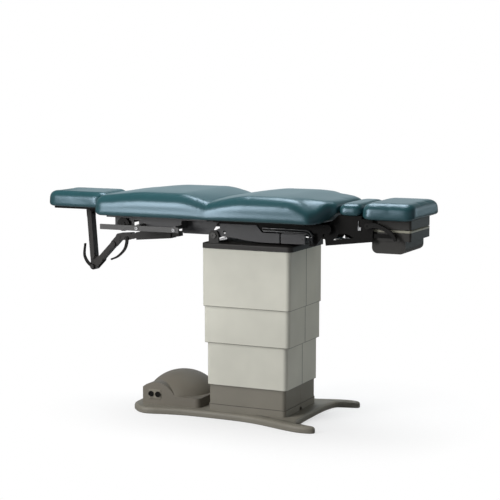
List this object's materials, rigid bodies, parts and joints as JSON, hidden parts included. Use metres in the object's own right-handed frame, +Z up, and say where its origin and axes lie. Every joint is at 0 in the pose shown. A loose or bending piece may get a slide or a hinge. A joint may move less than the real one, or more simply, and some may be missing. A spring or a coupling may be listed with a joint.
{
  "type": "procedure table",
  "caption": "Powered procedure table: telescoping column on a flat base, tilting padded top with hinged back and foot sections, jointed headrest arm and pull-out pan.",
  "frame": {"origin": "on the floor under the lift column's axis, at the underside of the base plate", "axes": "+Z up, +X towards the foot end, +Y towards the far side, away from the sockets' side of the base"},
  "size_m": [1.9, 0.618, 1.042],
  "materials": {
    "upholstery": "satin",
    "shroud_grey": "satin",
    "base_taupe": "satin",
    "cover_taupe": "satin",
    "charcoal": "satin",
    "dark_grey": "satin",
    "black_metal": "satin",
    "black_plastic": "satin",
    "hose_black": "gloss",
    "beige_plastic": "satin",
    "machined_steel": "brushed"
  },
  "bodies": {
    "base": {"base_plate": "base_taupe", "plinth_front": "base_taupe", "plinth_rear": "base_taupe", "mast_outer": "machined_steel", "lift_barrel": "machined_steel", "pump_cover": "cover_taupe", "pump_motor": "dark_grey", "fluid_reservoir": "beige_plastic", "socket_panel": "beige_plastic", "control_sockets": "black_plastic"},
    "lower_shroud": {"lower_shroud_front": "shroud_grey", "lower_shroud_rear": "shroud_grey"},
    "middle_shroud": {"middle_shroud_front": "shroud_grey", "middle_shroud_rear": "shroud_grey"},
    "mast_stage": {"mast_middle": "machined_steel", "lift_stage": "machined_steel"},
    "lift_head": {"upper_shroud_front": "shroud_grey", "upper_shroud_rear": "shroud_grey", "mast_inner": "machined_steel", "lift_ram": "machined_steel", "top_cap": "charcoal", "tilt_brackets": "charcoal", "tilt_latch": "machined_steel", "tilt_pins": "machined_steel", "tilt_barrel": "machined_steel"},
    "tilt_ram": {"tilt_rod": "machined_steel"},
    "top_frame": {"seat_frame": "black_metal", "side_plate_near": "dark_grey", "side_plate_far": "dark_grey", "seat_pad": "upholstery", "hydraulic_hose": "hose_black", "junction_box": "dark_grey", "box_screws": "machined_steel", "back_hinge_pins": "machined_steel"},
    "back_cylinder": {"back_barrel": "machined_steel"},
    "back_ram": {"back_rod": "machined_steel"},
    "back": {"back_frame": "dark_grey", "back_pad": "upholstery", "side_rail_near": "dark_grey", "side_rail_far": "dark_grey", "rail_screws": "machined_steel", "clamp_knob": "black_plastic", "head_sleeve": "charcoal"},
    "head_slide": {"head_slide_bar": "charcoal"},
    "head_arm": {"head_link": "charcoal"},
    "elbow_handle": {"elbow_lever": "black_plastic"},
    "head_mast": {"head_post": "charcoal"},
    "post_handle": {"post_lever": "black_plastic"},
    "headrest": {"headrest_base": "black_metal", "headrest_pad": "upholstery"},
    "foot": {"foot_frame": "black_metal", "foot_latch": "machined_steel", "foot_housing": "charcoal", "knee_pad": "upholstery", "foot_pad": "upholstery"},
    "foot_handle": {"foot_lever": "black_plastic"},
    "pan_drawer": {"pan_holder": "black_plastic", "treatment_pan": "beige_plastic"},
    "foot_cylinder": {"foot_barrel": "machined_steel"},
    "foot_ram": {"foot_rod": "machined_steel"}
  },
  "joints": [
    {"name": "lift_slide", "type": "slide", "parent": "base", "child": "lift_head", "axis": [0, 0, 1], "range_m": [-0.44, 0]},
    {"name": "lower_shroud_slide", "type": "slide", "parent": "base", "child": "lower_shroud", "axis": [0, 0, 1], "range_m": [-0.0712, 0]},
    {"name": "middle_shroud_slide", "type": "slide", "parent": "base", "child": "middle_shroud", "axis": [0, 0, 1], "range_m": [-0.2692, 0]},
    {"name": "mast_stage_slide", "type": "slide", "parent": "base", "child": "mast_stage", "axis": [0, 0, 1], "range_m": [-0.2202, 0]},
    {"name": "top_tilt", "type": "hinge", "parent": "lift_head", "child": "top_frame", "pos_m": [-0.16, 0, 0.85], "axis": [0, -1, 0], "range_deg": [0, 15]},
    {"name": "tilt_rod_slide", "type": "slide", "parent": "lift_head", "child": "tilt_ram", "axis": [0, 0, 1], "range_m": [0, 0.0737]},
    {"name": "back_hinge", "type": "hinge", "parent": "top_frame", "child": "back", "pos_m": [-0.15, 0, 0.945], "axis": [0, 1, 0], "range_deg": [0, 75]},
    {"name": "back_cylinder_pivot", "type": "hinge", "parent": "top_frame", "child": "back_cylinder", "pos_m": [0.12, -0.06, 0.85], "axis": [0, 1, 0], "range_deg": [0, 10.6]},
    {"name": "back_rod_slide", "type": "slide", "parent": "back_cylinder", "child": "back_ram", "axis": [-0.9986, 0, 0.0535], "range_m": [0, 0.0796]},
    {"name": "foot_hinge", "type": "hinge", "parent": "top_frame", "child": "foot", "pos_m": [0.39, 0, 0.9], "axis": [0, -1, 0], "range_deg": [-90, 0]},
    {"name": "foot_cylinder_pivot", "type": "hinge", "parent": "top_frame", "child": "foot_cylinder", "pos_m": [0.15, 0.06, 0.855], "axis": [0, -1, 0], "range_deg": [0, 17.6]},
    {"name": "foot_rod_slide", "type": "slide", "parent": "foot_cylinder", "child": "foot_ram", "axis": [0.995, 0, -0.0995], "range_m": [-0.0779, 0]},
    {"name": "head_slide", "type": "slide", "parent": "back", "child": "head_slide", "axis": [-0.9962, 0, -0.0872], "range_m": [0, 0.12]},
    {"name": "elbow", "type": "hinge", "parent": "head_slide", "child": "head_arm", "pos_m": [-0.758, 0, 0.798], "axis": [0, 1, 0], "range_deg": [-30, 6]},
    {"name": "post_pivot", "type": "hinge", "parent": "head_arm", "child": "head_mast", "pos_m": [-0.905, 0, 0.646], "axis": [0, 1, 0], "range_deg": [-40, 4]},
    {"name": "headrest_tilt", "type": "hinge", "parent": "head_mast", "child": "headrest", "pos_m": [-0.926, 0, 0.921], "axis": [0, 1, 0], "range_deg": [-25, 40]},
    {"name": "elbow_lever_pivot", "type": "hinge", "parent": "head_slide", "child": "elbow_handle", "pos_m": [-0.712, 0, 0.793], "axis": [0, 1, 0], "range_deg": [0, 12], "stiffness_Nm_per_rad": 2},
    {"name": "post_lever_pivot", "type": "hinge", "parent": "head_arm", "child": "post_handle", "pos_m": [-0.905, 0, 0.646], "axis": [0, 1, 0], "range_deg": [0, 12], "stiffness_Nm_per_rad": 2},
    {"name": "foot_lever_pivot", "type": "hinge", "parent": "foot", "child": "foot_handle", "pos_m": [0.577, 0, 0.922], "axis": [0, -1, 0], "range_deg": [0, 16], "stiffness_Nm_per_rad": 2},
    {"name": "pan_slide", "type": "slide", "parent": "foot", "child": "pan_drawer", "axis": [1, 0, 0], "range_m": [0, 0.2]}
  ],
  "couplings": [
    {"joint": "lower_shroud_slide", "follows": "lift_slide", "ratio": 0.1614},
    {"joint": "middle_shroud_slide", "follows": "lift_slide", "ratio": 0.6114},
    {"joint": "mast_stage_slide", "follows": "lift_slide", "ratio": 0.5},
    {"joint": "tilt_rod_slide", "follows": "top_tilt", "m_per_rad": 0.2807},
    {"joint": "back_cylinder_pivot", "follows": "back_hinge", "ratio": 0.13903},
    {"joint": "back_rod_slide", "follows": "back_hinge", "m_per_rad": 0.060652},
    {"joint": "foot_cylinder_pivot", "follows": "foot_hinge", "ratio": -0.19271},
    {"joint": "foot_rod_slide", "follows": "foot_hinge", "m_per_rad": 0.049453}
  ]
}
